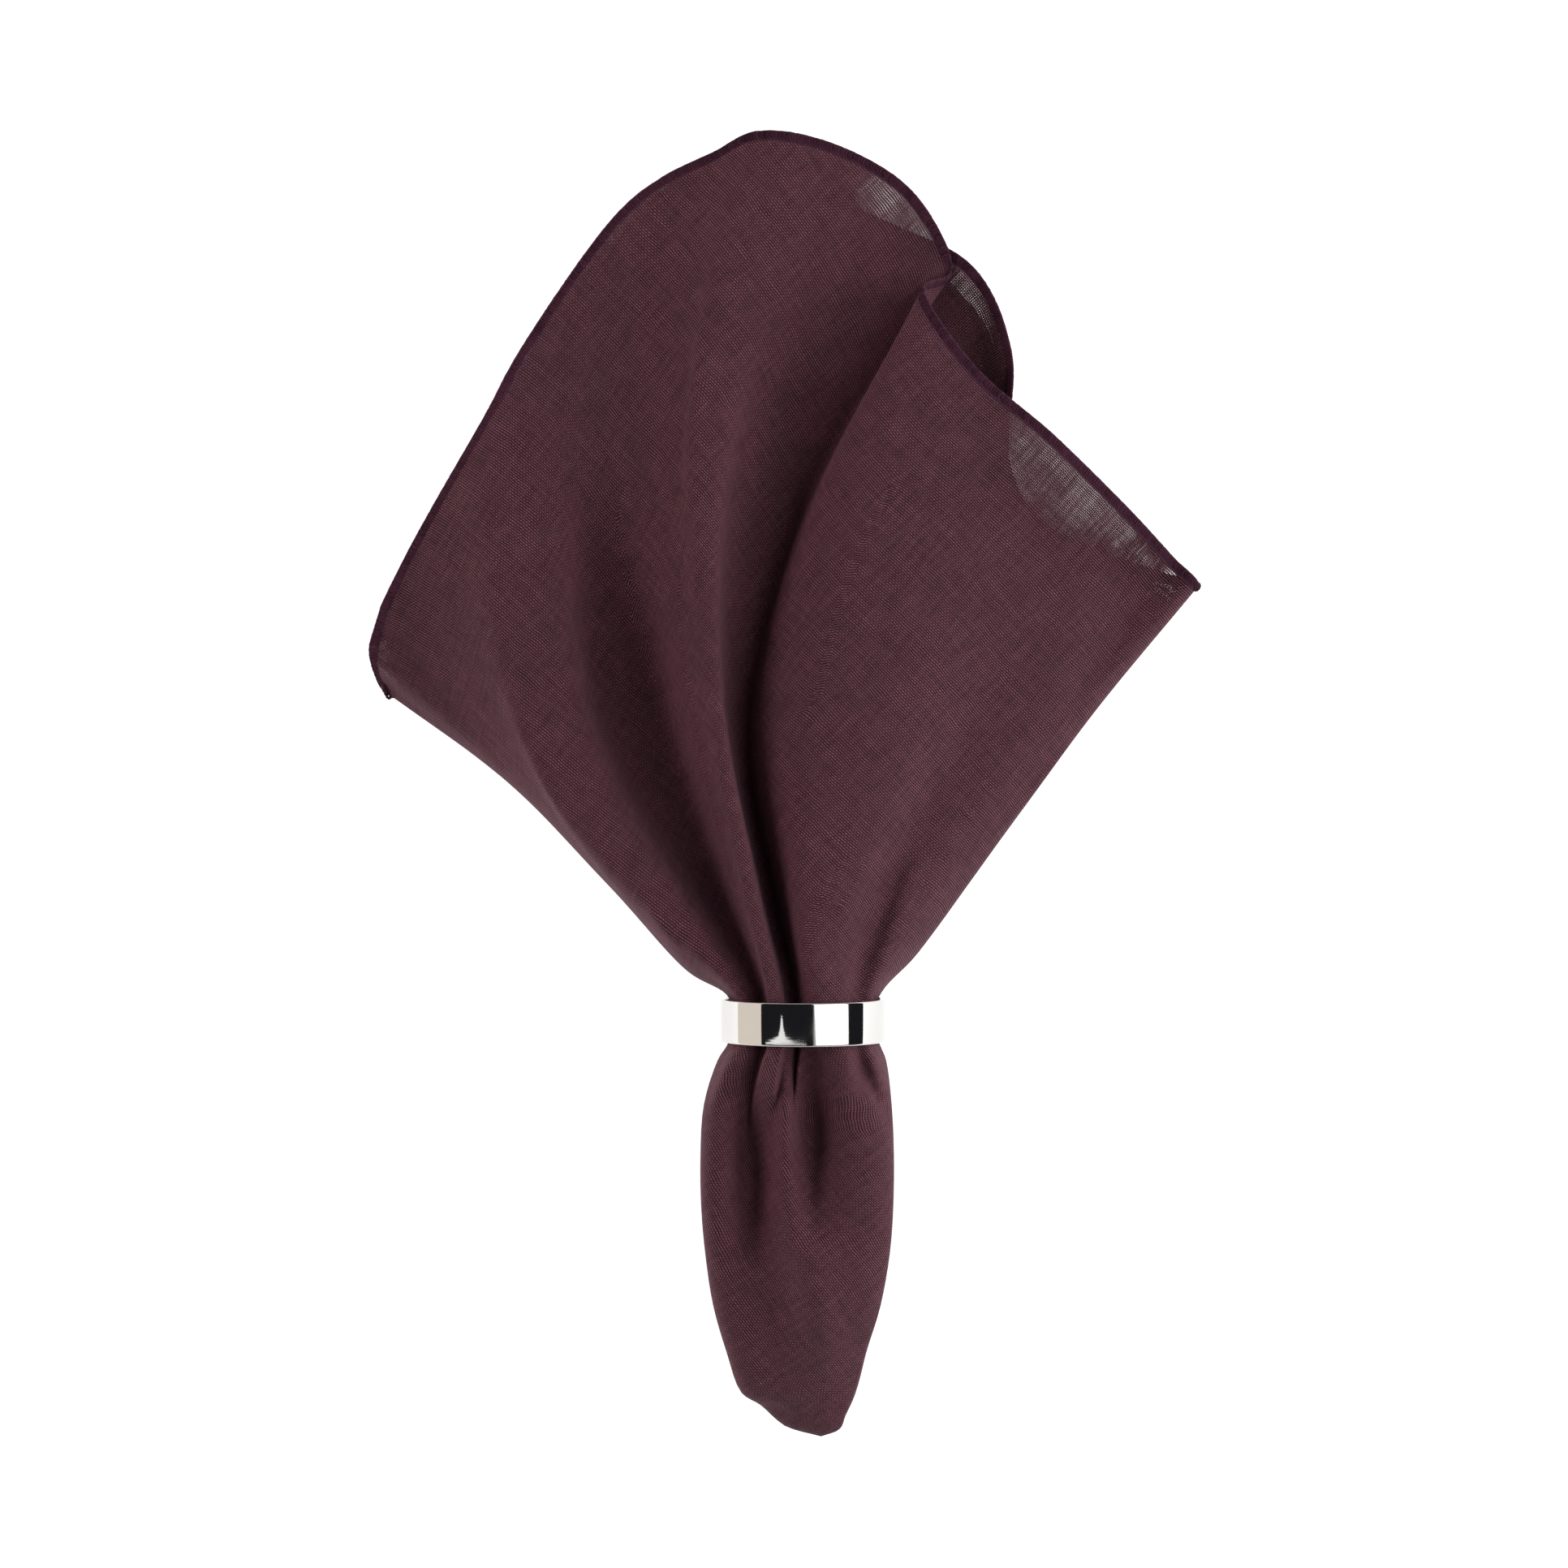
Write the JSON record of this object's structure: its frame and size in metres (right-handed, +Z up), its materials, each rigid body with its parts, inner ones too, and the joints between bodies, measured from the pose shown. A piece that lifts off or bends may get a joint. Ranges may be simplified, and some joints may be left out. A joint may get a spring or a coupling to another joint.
{
  "type": "cloth napkin in a ring",
  "caption": "Square linen napkin drawn through a plain polished ring: its corners fan out in soft folds on one side, the gathered tail on the other.",
  "frame": {"origin": "on the surface it lies on, under the middle of the overall bounding box", "axes": "+Y along the napkin from the tail's tip to the top of the fan, through the ring; +X across the fan, to the right seen from above with the fan up; +Z up from the surface"},
  "size_m": [0.203, 0.3178, 0.04],
  "materials": {
    "linen": "plain-weave burgundy linen, matt and slightly sheer, with a narrow overlocked hem",
    "polished_metal": "mirror-polished nickel plate"
  },
  "bodies": {
    "root": {"napkin": "linen", "napkin_ring": "polished_metal"}
  },
  "joints": []
}
